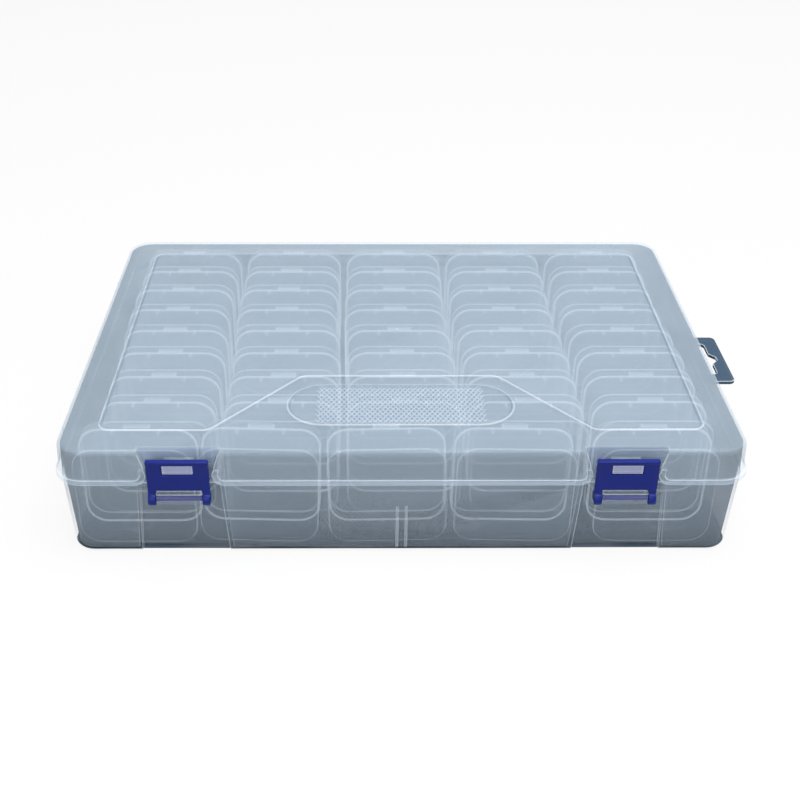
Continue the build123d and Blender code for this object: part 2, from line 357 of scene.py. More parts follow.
FINISHES: dict[str, Plastic] = {
    "shell": ClearPlastic(
        "Clear wall", (0.50, 0.61, 0.72), 0.19, 0.85, falloff=4.6, foot_share=0.25
    ),
    # The edge and step finishes carry a painted highlight: an emission glow that brightens their
    # lines under any lamp.
    "shell_edge": ClearPlastic(
        "Clear edge", (0.37, 0.41, 0.45), 0.50, 0.75, falloff=1.5, specular=0.2, painted_glow=0.46
    ),
    "shell_step": ClearPlastic(
        "Clear step", (0.45, 0.52, 0.59), 0.26, 0.50, falloff=1.5, specular=0.1, painted_glow=0.28
    ),
    "shell_clip": ClearPlastic("Clear clip", (0.55, 0.60, 0.74), 0.05, 0.35, specular=0.1),
    # Painted shade: the inner faces of the walls are a dark, nearly opaque sheet where seen from
    # inside, so the far walls show deep; seen from behind they are clear.
    "lining": ClearPlastic(
        "Clear lining", (0.11, 0.155, 0.205), 0.93, 0.97, falloff=3.6, specular=0.0,
        near_tint=(0.49, 0.60, 0.71), near_alpha=0.15,
    ),
    # Painted shade: the case's floor is a dark, nearly opaque sheet, for the shade under the
    # stacked boxes where no light comes from below.
    "floor": ClearPlastic("Clear floor", (0.045, 0.072, 0.108), 0.96, 0.98, specular=0.0),
    "small": ClearPlastic(
        "Small box wall", (0.52, 0.63, 0.74), 0.19, 0.55, falloff=3.0, specular=0.0, foot_share=0.2
    ),
    # The small box edge finish carries the same painted highlight glow.
    "small_edge": ClearPlastic(
        "Small box edge", (0.41, 0.46, 0.51), 0.42, 0.65, falloff=1.5, specular=0.1, painted_glow=0.38
    ),
    "shell_rim": ClearPlastic("Clear rim", (0.20, 0.27, 0.36), 0.45, 0.70, specular=0.1),
    # Painted reflection: the pocket walls behind the latches are tinted bluer for the blue latch
    # mirrored in them.
    "shell_pocket": ClearPlastic("Clear pocket", (0.38, 0.48, 0.66), 0.32, 0.50, specular=0.1),
    # Painted shade: the underside of the lid's top is a dark, nearly opaque sheet seen from inside,
    # which also keeps the lamps' light out of the case; seen from behind it is clear.
    "shell_under": ClearPlastic(
        "Clear underside", (0.36, 0.44, 0.51), 0.78, 0.86, falloff=3.6, specular=0.0,
        near_tint=(0.49, 0.60, 0.71), near_alpha=0.15,
    ),
    "stud": ClearPlastic("Pad stud", (0.26, 0.35, 0.45), 0.26, 0.40, specular=0.1),
    "catch": ClearPlastic("Catch face", (0.27, 0.29, 0.44), 0.80, 0.92, specular=0.1),
    "latch": Plastic("Latch plastic", (0.005, 0.012, 0.125)),
}
Finishes = dict[str, Material]


def make_finishes() -> Finishes:
    """Build the material of every finish.

    Returns:
        Finish name to material.
    """
    haze = MouldingHaze().build()
    return {name: finish.build(haze) for name, finish in FINISHES.items()}


# ---- Mesh helpers ----


def new_piece(name: str, mesh: Mesh) -> Object:
    """Put a mesh in the scene as a piece.

    Args:
        name: The piece's name.
        mesh: Its mesh, already in place.

    Returns:
        The new object, at the origin.
    """
    piece = bpy.data.objects.new(name, mesh)
    bpy.context.scene.collection.objects.link(piece)
    return piece


def mesh_of(shape: BMesh, name: str, *materials: Material) -> Mesh:
    """Close a mesh that was built up face by face.

    Args:
        shape: The finished faces.
        name: The mesh's name.
        materials: Its materials in order.

    Returns:
        The mesh, with its faces turned outwards.
    """
    bmesh.ops.recalc_face_normals(shape, faces=shape.faces)
    mesh = bpy.data.meshes.new(name)
    shape.to_mesh(mesh)
    shape.free()
    for material in materials:
        mesh.materials.append(material)
    return mesh


def eased_block(shape: BMesh, low: Point, high: Point, radius: float) -> tuple[set, set]:
    """Add a block with rounded edges.

    Args:
        shape: The mesh that it goes into.
        low: Its lowest corner.
        high: Its highest corner.
        radius: The radius of its edges.

    Returns:
        Its flat faces and its rounded ones.
    """
    size = Vector(high) - Vector(low)
    place = Matrix.Translation((Vector(low) + Vector(high)) / 2) @ Matrix.Diagonal((*size, 1.0))
    corners = bmesh.ops.create_cube(shape, size=1.0, matrix=place)["verts"]
    edges = list({edge for corner in corners for edge in corner.link_edges})
    faces = {face for corner in corners for face in corner.link_faces}
    options = {"segments": 2, "affect": "EDGES", "profile": 0.5, "clamp_overlap": True}
    rounded = set(bmesh.ops.bevel(shape, geom=edges, offset=radius, **options)["faces"])
    return {face for face in faces if face.is_valid} - rounded, rounded


def bake(piece: Object) -> Object:
    """Turn a piece's modifiers into plain mesh.

    Args:
        piece: The object with modifiers.

    Returns:
        The same object, with none.
    """
    evaluated = piece.evaluated_get(bpy.context.evaluated_depsgraph_get())
    mesh = bpy.data.meshes.new_from_object(evaluated)
    mesh.name = piece.name
    piece.modifiers.clear()
    piece.data = mesh
    return piece


def smooth_by_angle(mesh: Mesh, degrees: float) -> None:
    """Shade a mesh smooth, except across edges sharper than an angle.

    Args:
        mesh: The mesh.
        degrees: The angle.
    """
    for polygon in mesh.polygons:
        polygon.use_smooth = True
    mesh.set_sharp_from_angle(angle=radians(degrees))


def finish_piece(piece: Object, body: Body, slot: Slot, *nodes: str) -> Object:
    """Hang a piece on its body and hide the CAD nodes that it replaces.

    Args:
        piece: The finished piece.
        body: The body that it rides on.
        slot: The record's slot for its finish; not used.
        nodes: The CAD nodes that it replaces.

    Returns:
        The piece.
    """
    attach(piece, body.value)
    if nodes:
        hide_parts(*nodes)
    LOG.info("%s: %d faces on %s", piece.name, len(piece.data.polygons), body.value)
    return piece


# ---- Case, lid and latches ----


@dataclass
class MouldedPart:
    """A rigid part whose CAD shape is kept, with its sharp edges eased as a mould leaves them."""

    node: str
    body: Body
    slot: Slot
    edge_radius: float = 0.3 * MM
    edge_steps: int = 2
    sharp_degrees: float = 28.0
    smooth_degrees: float = 35.0
    weld_distance: float = 0.002 * MM
    flat_degrees: float = 0.4

    def welded(self) -> Object:
        """Copy the node with its loose triangles welded and flat panels made whole.

        Returns:
            A new object with the copy.
        """
        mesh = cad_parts[self.node].data.copy()
        mesh.materials.clear()
        shape = bmesh.new()
        shape.from_mesh(mesh)
        bmesh.ops.remove_doubles(shape, verts=shape.verts, dist=self.weld_distance)
        flat = radians(self.flat_degrees)
        bmesh.ops.dissolve_limit(shape, angle_limit=flat, verts=shape.verts, edges=shape.edges)
        shape.to_mesh(mesh)
        shape.free()
        return new_piece(f"{self.node}_moulded", mesh)

    def ease_edges(self, piece: Object) -> None:
        """Round the sharp edges and give the new faces the second material.

        Args:
            piece: The welded copy.
        """
        bevel = piece.modifiers.new("Eased edges", "BEVEL")
        bevel.limit_method = "ANGLE"
        bevel.angle_limit = radians(self.sharp_degrees)
        bevel.width = self.edge_radius
        bevel.segments = self.edge_steps
        bevel.use_clamp_overlap = False
        bevel.material = 1
        bake(piece)

    def build(self, finish: Material, edge: Material) -> Object:
        """Make the dressed part.

        Args:
            finish: The material of its panels.
            edge: The material of its edges.

        Returns:
            The piece.
        """
        piece = self.welded()
        piece.data.materials.append(finish)
        piece.data.materials.append(edge)
        self.ease_edges(piece)
        smooth_by_angle(piece.data, self.smooth_degrees)
        return finish_piece(piece, self.body, self.slot, self.node)


class Look(Enum):
    """The looks of a case part's faces, in the order of its materials, with their finishes."""

    # The lining, floor and underside looks are painted shade, the pocket look a painted reflection
    # of the blue latch, and the edge, step and ridge looks carry the painted glow of their
    # finishes.
    WALL = "shell"
    EDGE = "shell_edge"
    STEP = "shell_step"
    LINING = "lining"
    FLOOR = "floor"
    CLIP = "shell_clip"
    RIDGE = "small_edge"
    RIM = "shell_rim"
    POCKET = "shell_pocket"
    UNDER = "shell_under"


@dataclass
class CaseShell(MouldedPart):
    """A thin-walled half of the case, whose inner wall faces are painted dark as shade where they
    are seen from inside, so that its far walls show deeper than its near ones.
    """

    shade_lining_band: float = 9.0 * MM
    least_facing: float = 0.7
    front: float | None = None

    def dress(self, finishes: Finishes) -> Object:
        """Make the part and give each of its faces its look.

        Args:
            finishes: The built finishes.

        Returns:
            The piece, with a material for every look.
        """
        piece = self.build(finishes["shell"], finishes["shell_edge"])
        looks, faces = list(Look), piece.data.polygons
        chosen = [looks.index(self.look(face, face.material_index == 1)) for face in faces]
        piece.data.materials.clear()
        for look in looks:
            piece.data.materials.append(finishes[look.value])
        piece.data.polygons.foreach_set("material_index", chosen)
        return piece

    def look(self, polygon: MeshPolygon, eased: bool) -> Look:
        """Choose a face's look.

        Args:
            polygon: A face of the dressed part.
            eased: True on an eased edge.

        Returns:
            Its look.
        """
        raise NotImplementedError

    def lines(self, polygon: MeshPolygon) -> bool:
        """Tell whether a face of the outer walls looks into the case.

        Args:
            polygon: A face of the dressed part.

        Returns:
            True for an inner face of a side, the front or the rear wall.
        """
        low, high = self.walls
        centre, normal = polygon.center, polygon.normal
        for axis in (0, 1):
            if centre[axis] < low[axis] + self.shade_lining_band and normal[axis] > self.least_facing:
                return True
            if centre[axis] > high[axis] - self.shade_lining_band and normal[axis] < -self.least_facing:
                return True
        return False

    def inset(self, point: Vector, corner: float) -> float:
        """Measure how far inside the part's outline a point lies, seen from above.

        Args:
            point: The point.
            corner: The outline's corner radius.

        Returns:
            The distance in metres, less than zero outside.
        """
        half = self.walls[1]
        over_x = abs(point.x) - half.x + corner
        over_y = abs(point.y) - half.y + corner
        round_corner = Vector((max(over_x, 0.0), max(over_y, 0.0))).length
        return corner - round_corner - min(max(over_x, over_y), 0.0)

    @cached_property
    def walls(self) -> tuple[Vector, Vector]:
        """Lowest and highest corners of the shell without its tab, hinges and brackets."""
        low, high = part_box(self.node)
        front = low.y if self.front is None else self.front
        return Vector((low.x, front, low.z)), Vector((-low.x, -front, high.z))


@dataclass
class CaseBase(CaseShell):
    """The case's base: its floor panel is painted darker as shade, because no light comes from
    below it; its foot line and hang tab take the same painted shade.
    """

    floor_top: float = 1.7 * MM
    foot_line: float = 0.4 * MM
    rim: float = 39.95 * MM
    tab_root: float = 0.9 * MM
    front: float = -109.4 * MM
    clip_half: float = 11.0 * MM
    clip_back: float = -107.6 * MM
    clip_foot: float = 27.0 * MM
    clip_slope: float = 0.2
    corner: float = 12.0 * MM
    recess_depth: float = 3.4 * MM
    lip_line: float = 0.6 * MM

    def look(self, polygon: MeshPolygon, eased: bool) -> Look:
        """Choose a face's look.

        Args:
            polygon: A face of the dressed part.
            eased: True on an eased edge.

        Returns:
            Its look.
        """
        centre, normal = polygon.center, polygon.normal
        beside_latch = abs(abs(centre.x) - LATCH_X) < self.clip_half
        if beside_latch and centre.y < self.clip_back and centre.z > self.clip_foot:
            return Look.STEP if eased and normal.z > self.clip_slope else Look.CLIP
        if centre.z > self.rim:
            if eased:
                return Look.CLIP
            # Painted shade: inner faces of the lip take the dark lining finish.
            return Look.LINING if self.lines(polygon) else Look.WALL
        # Painted shade: the hang tab takes the dark floor finish, and its eased edges the painted
        # glow of the edge finish.
        if centre.x > self.walls[1].x + self.tab_root:
            return Look.EDGE if eased else Look.FLOOR
        if eased:
            # Painted shade: the eased edges along the foot take the dark floor finish, a dark line
            # where the case stands.
            if centre.z < self.foot_line:
                return Look.FLOOR
            if centre.y > -self.front:
                return Look.EDGE
            outside = self.inset(centre, self.corner) < self.recess_depth
            return Look.STEP if outside and centre.z < self.rim - self.lip_line else Look.WALL
        # Painted shade: the floor panel takes the dark, nearly opaque floor finish, and inner wall
        # faces the dark lining finish.
        if centre.z < self.floor_top:
            return Look.FLOOR
        return Look.LINING if self.lines(polygon) else Look.WALL


@dataclass
class CaseLid(CaseShell):
    """The hinged lid, with the painted highlight lines of its bead, pocket edges and stacking
    ridges.
    """

    ridge_height: float = 0.6 * MM
    ridge_margin: float = 0.02 * MM
    flat_top: float = 0.99
    skin_depth: float = 2.0 * MM
    rim_band: float = 1.6 * MM
    rim_slope: float = 0.05
    front_slope: float = -0.4
    step_band: float = 0.5 * MM
    squarely: float = 0.9
    corner: float = 14.25 * MM
    bead_top: float = 48.4 * MM
    skirt_lean: float = 2.3 * MM
    line_depth: float = 0.55 * MM
    pocket_half: float = 19.5 * MM
    pocket_depth: float = 6.6 * MM
    hinge_band: float = 3.0 * MM

    def look(self, polygon: MeshPolygon, eased: bool) -> Look:
        """Choose a face's look.

        Args:
            polygon: A face of the dressed part.
            eased: True on an eased edge.

        Returns:
            Its look.
        """
        centre, normal = polygon.center, polygon.normal
        top = self.walls[1].z - self.ridge_height
        if eased:
            if self.shines(centre):
                return Look.EDGE
            if self.in_pocket(centre) and centre.z > top - self.step_band:
                return Look.STEP
            on_rim = centre.z > top - self.rim_band and normal.z > self.rim_slope
            return Look.RIM if on_rim and normal.y > self.front_slope else Look.WALL
        behind_bead = centre.y > self.walls[0].y + self.pocket_depth / 2
        # Painted reflection: the pocket walls that face the latch take the bluer pocket finish.
        if self.in_pocket(centre) and behind_bead and normal.y < -self.squarely:
            return Look.POCKET
        # Painted shade: the underside of the top takes the dark underside finish, and inner wall
        # faces the dark lining finish.
        if normal.z < -self.squarely and centre.z > top - self.skin_depth:
            return Look.UNDER
        return Look.LINING if self.lines(polygon) else Look.WALL

    def shines(self, point: Vector) -> bool:
        """Tell whether an eased edge of the skirt is one of its outer lines.

        Args:
            point: The middle of a face of the edge.

        Returns:
            True on the bead, on a pocket's sides and on the hinge clips.
        """
        if point.y > -self.walls[0].y - self.hinge_band:
            return True
        inset = self.inset(point, self.corner)
        if point.z < self.bead_top:
            return inset < self.line_depth
        return self.in_pocket(point) and inset < self.skirt_lean

    def in_pocket(self, point: Vector) -> bool:
        """Tell whether a point lies in front of or in a latch pocket, seen from above."""
        beside = abs(abs(point.x) - LATCH_X) < self.pocket_half
        return beside and point.y < self.walls[0].y + self.pocket_depth

    def outer_ridge_faces(self, mesh: Mesh) -> list[int]:
        """Find the outer sides of the stacking ridge and of the pad's ridge.

        Args:
            mesh: The dressed lid.

        Returns:
            Face numbers.
        """
        foot = self.walls[1].z - self.ridge_height + self.ridge_margin
        shape = bmesh.new()
        shape.from_mesh(mesh)
        left = {
            face
            for face in shape.faces
            if face.calc_center_median().z > foot and face.normal.z < self.flat_top
        }
        rims = []
        while left:
            rim, queue = [], [left.pop()]
            while queue:
                face = queue.pop()
                rim.append(face)
                near = {other for edge in face.edges for other in edge.link_faces if other in left}
                left -= near
                queue.extend(near)
            places = [vert.co.x for face in rim for vert in face.verts]
            rims.append((max(places) - min(places), [face.index for face in rim]))
        shape.free()
        rims.sort(key=lambda rim: -rim[0])
        return [number for _, faces in rims[::2] for number in faces]

    def dress(self, finishes: Finishes) -> Object:
        """Make the lid with its ridges in the glowing edge finish, a painted highlight.

        Args:
            finishes: The built finishes.

        Returns:
            The piece.
        """
        piece = super().dress(finishes)
        bright = list(Look).index(Look.RIDGE)
        for number in self.outer_ridge_faces(piece.data):
            piece.data.polygons[number].material_index = bright
        return piece


# ---- Small boxes ----


def rounded_loop(half_x: float, half_z: float, corner: float, steps: int) -> list[tuple]:
    """Walk round a rounded rectangle.

    Args:
        half_x: Half its width.
        half_z: Half its height.
        corner: Its corner radius.
        steps: Faces to a corner.

    Returns:
        Points (x, z), anticlockwise seen with Z up and X to the right.
    """
    points = []
    for quarter in range(4):
        centre_x = (half_x - corner) * (1 if quarter in (0, 3) else -1)
        centre_z = (half_z - corner) * (1 if quarter in (0, 1) else -1)
        for step in range(steps + 1):
            angle = (quarter + step / steps) * pi / 2
            points.append((centre_x + corner * cos(angle), centre_z + corner * sin(angle)))
    return points


@dataclass
class SmallBox:
    """One flip-top box: an open tray and the lid that closes its mouth."""

    width: float = 55.1 * MM
    height: float = 52.7 * MM
    depth: float = 22.9 * MM
    lid_depth: float = 6.6 * MM
    joint_gap: float = 0.1 * MM
    wall: float = 1.0 * MM
    corner: float = 9.8 * MM
    corner_steps: int = 8
    draft_degrees: float = 1.4
    edge_radius: float = 0.55 * MM
    edge_steps: int = 2
    inner_share: float = 0.7
    rim_band: float = 0.4 * MM
    tab_width: float = 12.0 * MM
    tab_length: float = 3.2 * MM
    tab_proud: float = 0.7 * MM
    tab_round: float = 0.56 * MM
    snap_span: float = 21.2 * MM
    snap_width: float = 1.0 * MM
    snap_length: float = 4.4 * MM
    snap_proud: float = 0.6 * MM
    snap_round: float = 0.25 * MM

    def half_shell(
        self, shape: BMesh, depth: float, draft: float, mouth: float, way: int
    ) -> None:
        """Add an open half shell.

        Args:
            shape: The mesh that it goes into.
            depth: Its depth, floor included.
            draft: How much it narrows per metre towards its floor.
            mouth: Y of its mouth.
            way: 1 when the mouth looks to +Y, -1 when it looks to -Y.
        """
        turns = [step / self.edge_steps * pi / 2 for step in range(self.edge_steps + 1)]
        inner_radius = self.edge_radius * self.inner_share
        rings = [self.rounding(0.0, self.edge_radius, angle) for angle in turns]
        rings += [(0.0, depth - self.rim_band), (0.0, depth), (self.wall, depth)]
        rings += [self.rounding(self.wall, inner_radius, angle) for angle in reversed(turns)]
        # The rounded edge and the rim are marked to take the edge finish, whose glow is a painted
        # highlight.
        bright = {*range(self.edge_steps), self.edge_steps + 1, self.edge_steps + 2}
        layer = shape.faces.layers.bool.new("bright")
        loops = []
        for inset, y in rings:
            narrow = inset + draft * (depth - y)
            half_x, half_z = self.width / 2 - narrow, self.height / 2 - narrow
            outline = rounded_loop(half_x, half_z, self.corner - narrow, self.corner_steps)
            y_here = mouth - way * (depth - y)
            loops.append([shape.verts.new((x, y_here, z)) for x, z in outline])
        for ring, (near, far) in enumerate(zip(loops, loops[1:])):
            for i in range(len(near)):
                corners = (near[i - 1], near[i], far[i], far[i - 1])
                face = shape.faces.new(corners if way > 0 else corners[::-1])
                face[layer] = ring in bright
        for loop, outward in ((loops[0], True), (loops[-1], False)):
            shape.faces.new(loop if (way > 0) != outward else loop[::-1])

    @staticmethod
    def rounding(start: float, radius: float, angle: float) -> tuple[float, float]:
        """Give the inset and the height of a point of the rounding between floor and wall."""
        return start + radius * (1 - sin(angle)), start + radius * (1 - cos(angle))

    def block(self, shape: BMesh, low: Point, high: Point, radius: float) -> None:
        """Add a small eased block, lit as an edge.

        Args:
            shape: The mesh that it goes into.
            low: Its lowest corner.
            high: Its highest corner.
            radius: The radius of its edges.
        """
        flat, rounded = eased_block(shape, low, high, radius)
        layer = shape.faces.layers.bool["bright"]
        for face in flat | rounded:
            face[layer] = True

    def tray(self) -> Object:
        """Make the tray with the two nibs that its lid snaps behind.

        Returns:
            An object that other trees copy.
        """
        shape = bmesh.new()
        depth = self.depth - self.lid_depth - self.joint_gap
        self.half_shell(shape, depth, tan(radians(self.draft_degrees)), depth, 1)
        top = self.height / 2
        for side in (-1, 1):
            x = side * self.snap_span / 2
            self.block(
                shape,
                (x - self.snap_width / 2, depth - self.snap_length, top - self.snap_proud),
                (x + self.snap_width / 2, depth, top + self.snap_proud),
                self.snap_round,
            )
        return bpy.data.objects.new("tray_pattern", mesh_of(shape, "tray_pattern"))

    def lid(self) -> Object:
        """Make the lid with its thumb tab.

        Returns:
            An object that other trees copy.
        """
        shape = bmesh.new()
        mouth = self.depth - self.lid_depth
        self.half_shell(shape, self.lid_depth, 0.0, mouth, -1)
        top = self.height / 2
        self.block(
            shape,
            (-self.tab_width / 2, mouth, top - self.tab_proud),
            (self.tab_width / 2, mouth + self.tab_length, top + self.tab_proud),
            self.tab_round,
        )
        return bpy.data.objects.new("lid_pattern", mesh_of(shape, "lid_pattern"))


def row_tree() -> NodeTree:
    """Build the tree that stands a copy of a box or of a stud on each point of a mesh.

    Returns:
        A geometry tree with the pattern and its two finishes as inputs.
    """
    tree, graph, given, out = new_group(
        "Row of boxes",
        "GeometryNodeTree",
        {
            "Places": "Geometry",
            "Pattern": "Object",
            "Finish": "Material",
            "Edge finish": "Material",
        },
        {"Row": "Geometry"},
    )
    given = given.outputs
    pattern = graph.add("GeometryNodeObjectInfo", {"Object": given["Pattern"]})
    tilt = graph.add("GeometryNodeInputNamedAttribute", {"Name": "tilt"}, data_type="FLOAT")
    turn = graph.add("ShaderNodeCombineXYZ", {"Y": tilt.outputs[0]})
    stood = graph.add(
        "GeometryNodeInstanceOnPoints",
        {
            "Points": given["Places"],
            "Instance": pattern.outputs["Geometry"],
            "Rotation": turn.outputs[0],
        },
    )
    real = graph.add("GeometryNodeRealizeInstances", {"Geometry": stood.outputs[0]})
    look = {"Geometry": real.outputs[0], "Material": given["Finish"]}
    plain = graph.add("GeometryNodeSetMaterial", look)
    # Faces marked bright take the edge finish, whose glow is a painted highlight.
    bright = graph.add("GeometryNodeInputNamedAttribute", {"Name": "bright"}, data_type="BOOLEAN")
    look = {
        "Geometry": plain.outputs[0],
        "Selection": bright.outputs[0],
        "Material": given["Edge finish"],
    }
    edged = graph.add("GeometryNodeSetMaterial", look)
    tree.links.new(edged.outputs[0], out.inputs["Row"])
    return tree


def stand(name: str, places: Mesh, tree: NodeTree, pattern: Object, *finishes: Material) -> Object:
    """Stand copies of a pattern on points, as one piece.

    Args:
        name: The piece's name.
        places: The points.
        tree: The tree that does it; its inputs are set by their sockets' identifiers.
        pattern: What stands on each point.
        finishes: The finish of the flat faces and that of the bright ones.

    Returns:
        The piece, as plain mesh.
    """
    piece = new_piece(name, places)
    modifier = piece.modifiers.new("Row", "NODES")
    modifier.node_group = tree
    values = dict(zip(("Pattern", "Finish", "Edge finish"), (pattern, *finishes)))
    for item in tree.interface.items_tree:
        if item.item_type == "SOCKET" and item.in_out == "INPUT" and item.name in values:
            modifier[item.identifier] = values[item.name]
    return bake(piece)


@dataclass
class BoxRows:
    """All the small boxes, a row at a time, each where its tray stands in the frame."""

    rows: int = 9
    columns: int = 5
    front_tilt: tuple[float, ...] = (0.0, 1.6, -1.2, 1.0, 0.0)
    smooth_degrees: float = 40.0

    def places(self, row: int) -> Mesh:
        """Read where a row's boxes stand.

        Args:
            row: The row's number, from 1 at the front.

        Returns:
            A mesh of points, each with its tilt.
        """
        spots, tilts = [], []
        for column in range(1, self.columns + 1):
            low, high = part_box(f"thread_box_r{row}_c{column}")
            spots.append(((low.x + high.x) / 2, low.y, (low.z + high.z) / 2))
            tilts.append(radians(self.front_tilt[column - 1]) if row == 1 else 0.0)
        mesh = bpy.data.meshes.new(f"row_{row}_places")
        mesh.from_pydata(spots, [], [])
        tilt = mesh.attributes.new("tilt", "FLOAT", "POINT")
        tilt.data.foreach_set("value", tilts)
        return mesh

    def build(self, tree: NodeTree, finishes: Finishes) -> None:
        """Make every row of trays and lids.

        Args:
            tree: The tree that stands a pattern on points.
            finishes: The built finishes.
        """
        box = SmallBox()
        tray, lid = box.tray(), box.lid()
        for row in range(1, self.rows + 1):
            trays = [f"thread_box_r{row}_c{column}" for column in range(1, self.columns + 1)]
            for name, pattern, nodes in (
                (f"thread_trays_row_{row}", tray, trays),
                (f"thread_lids_row_{row}", lid, [f"thread_box_lids_r{row}"]),
            ):
                both = finishes["small"], finishes["small_edge"]
                piece = stand(name, self.places(row), tree, pattern, *both)
                smooth_by_angle(piece.data, self.smooth_degrees)
                finish_piece(piece, Body.CASE, Slot.BOX, *nodes)


# ---- Small moulded details ----


@dataclass
class CatchFace:
    """The clear face of a lid catch, standing in its latch's window."""

    side: int
    window_z: float = 49.6 * MM
    back_y: float = -111.45 * MM
    front_y: float = -113.2 * MM
    half_width: float = 6.7 * MM
    half_height: float = 2.2 * MM
    rim: float = 0.3 * MM
    smooth_degrees: float = 40.0

    def build(self, finish: Material, edge: Material) -> Object:
        """Make the face with its rim in the edge finish, whose glow is a painted highlight.

        Args:
            finish: The material of its middle.
            edge: The material of its rim.

        Returns:
            The piece.
        """
        name = "catch_face_left" if self.side < 0 else "catch_face_right"
        shape = bmesh.new()
        middle = self.side * LATCH_X
        low = (middle - self.half_width, self.front_y, self.window_z - self.half_height)
        high = (middle + self.half_width, self.back_y, self.window_z + self.half_height)
        _, rounded = eased_block(shape, low, high, self.rim)
        for face in rounded:
            face.material_index = 1
        mesh = mesh_of(shape, name, finish, edge)
        smooth_by_angle(mesh, self.smooth_degrees)
        return finish_piece(new_piece(name, mesh), Body.LID, Slot.CASE)


@dataclass
class StudField:
    """A field of low diamond studs, staggered, moulded on a flat panel."""

    name: str
    body: Body
    centre: Point
    half_x: float
    half_y: float
    pitch_x: float = 2.4 * MM
    pitch_y: float = 4.1 * MM
    fill: float = 0.94
    crown: float = 0.74
    height: float = 0.16 * MM

    def pattern(self) -> Object:
        """Make one stud: a flat-topped diamond.

        Returns:
            An object that isn't in the scene.
        """
        half_x, half_y = self.pitch_x / 2, self.pitch_y / 2
        ring = ((half_x, 0.0), (0.0, half_y), (-half_x, 0.0), (0.0, -half_y))
        levels = ((self.fill, 0.0), (self.fill * self.crown, self.height))
        verts = [(x * share, y * share, z) for share, z in levels for x, y in ring]
        sides = [(i, (i + 1) % 4, 4 + (i + 1) % 4, 4 + i) for i in range(4)]
        mesh = bpy.data.meshes.new(f"{self.name}_stud")
        mesh.from_pydata(verts, [], [(3, 2, 1, 0), (4, 5, 6, 7), *sides])
        # The four sides are marked to take the edge finish, whose glow is a painted highlight.
        bright = mesh.attributes.new("bright", "BOOLEAN", "FACE")
        bright.data.foreach_set("value", [False, False, True, True, True, True])
        return bpy.data.objects.new(f"{self.name}_stud", mesh)

    def places(self) -> Mesh:
        """Lay out the studs' feet.

        Returns:
            A mesh of points.
        """
        x, y, z = self.centre
        step_x, step_y = self.pitch_x / 2, self.pitch_y / 2
        across, along = int(self.half_x / step_x), int(self.half_y / step_y)
        spots = [
            (x + i * step_x, y + j * step_y, z)
            for i in range(-across, across + 1)
            for j in range(-along, along + 1)
            if (i + j) % 2 == 0
        ]
        mesh = bpy.data.meshes.new(f"{self.name}_places")
        mesh.from_pydata(spots, [], [])
        return mesh

    def build(self, tree: NodeTree, finish: Material, edge: Material) -> Object:
        """Make the field.

        Args:
            tree: The tree that stands a pattern on points.
            finish: The material of the studs' tops.
            edge: The material of their lit sides.

        Returns:
            The piece.
        """
        piece = stand(self.name, self.places(), tree, self.pattern(), finish, edge)
        return finish_piece(piece, self.body, Slot.CASE)


PAD = StudField(
    "pad_studs", Body.LID, centre=(0.0, -71.6 * MM, TOP_Z), half_x=38.5 * MM, half_y=15.0 * MM
)
GRIP = StudField(
    "floor_studs", Body.CASE, centre=(0.0, -81.5 * MM, FLOOR_Z), half_x=38.0 * MM, half_y=13.5 * MM
)


@dataclass
class MouldMarks:
    """Round marks that the mould leaves: rings on the case's floor and a gate dot on the lid."""

    ring_places: tuple[tuple[float, float], ...] = (
        (-125 * MM, -88 * MM), (125 * MM, -88 * MM), (-125 * MM, 88 * MM), (125 * MM, 88 * MM)
    )
    ring_radii: tuple[float, ...] = (6.3 * MM, 7.4 * MM)
    line: float = 0.22 * MM
    height: float = 0.08 * MM
    steps: int = 40
    dot_radius: float = 0.7 * MM
    dot_top: float = 0.42 * MM
    dot_place: Point = (0.0, 1.0 * MM, TOP_Z)
    dot_steps: int = 16

    def ring(self, shape: BMesh, x: float, y: float, radius: float) -> None:
        """Add a raised ring of square section.

        Args:
            shape: The mesh that it goes into.
            x: X of its middle.
            y: Y of its middle.
            radius: Its radius.
        """
        inner, outer = radius - self.line / 2, radius + self.line / 2
        section = ((inner, 0.0), (outer, 0.0), (outer, self.height), (inner, self.height))
        loops = []
        for step in range(self.steps):
            angle = 2 * pi * step / self.steps
            loops.append([
                shape.verts.new((x + reach * cos(angle), y + reach * sin(angle), FLOOR_Z + z))
                for reach, z in section
            ])
        for near, far in zip(loops, loops[1:] + loops[:1]):
            for i in range(len(section)):
                shape.faces.new((near[i - 1], near[i], far[i], far[i - 1]))

    def build(self, edge: Material) -> None:
        """Make the rings and the dot.

        Args:
            edge: The material of bright edges.
        """
        shape = bmesh.new()
        for x, y in self.ring_places:
            for radius in self.ring_radii:
                self.ring(shape, x, y, radius)
        # The rings and the dot take the step finish, whose glow is a painted highlight.
        rings = new_piece("floor_rings", mesh_of(shape, "floor_rings", edge))
        finish_piece(rings, Body.CASE, Slot.CASE)

        shape = bmesh.new()
        bmesh.ops.create_cone(
            shape,
            cap_ends=True,
            segments=self.dot_steps,
            radius1=self.dot_radius,
            radius2=self.dot_top,
            depth=self.height * 2,
            matrix=Matrix.Translation(Vector(self.dot_place) + Vector((0, 0, self.height))),
        )
        dot = new_piece("gate_dot", mesh_of(shape, "gate_dot", edge))
        finish_piece(dot, Body.LID, Slot.CASE)


# ---- Studio ----


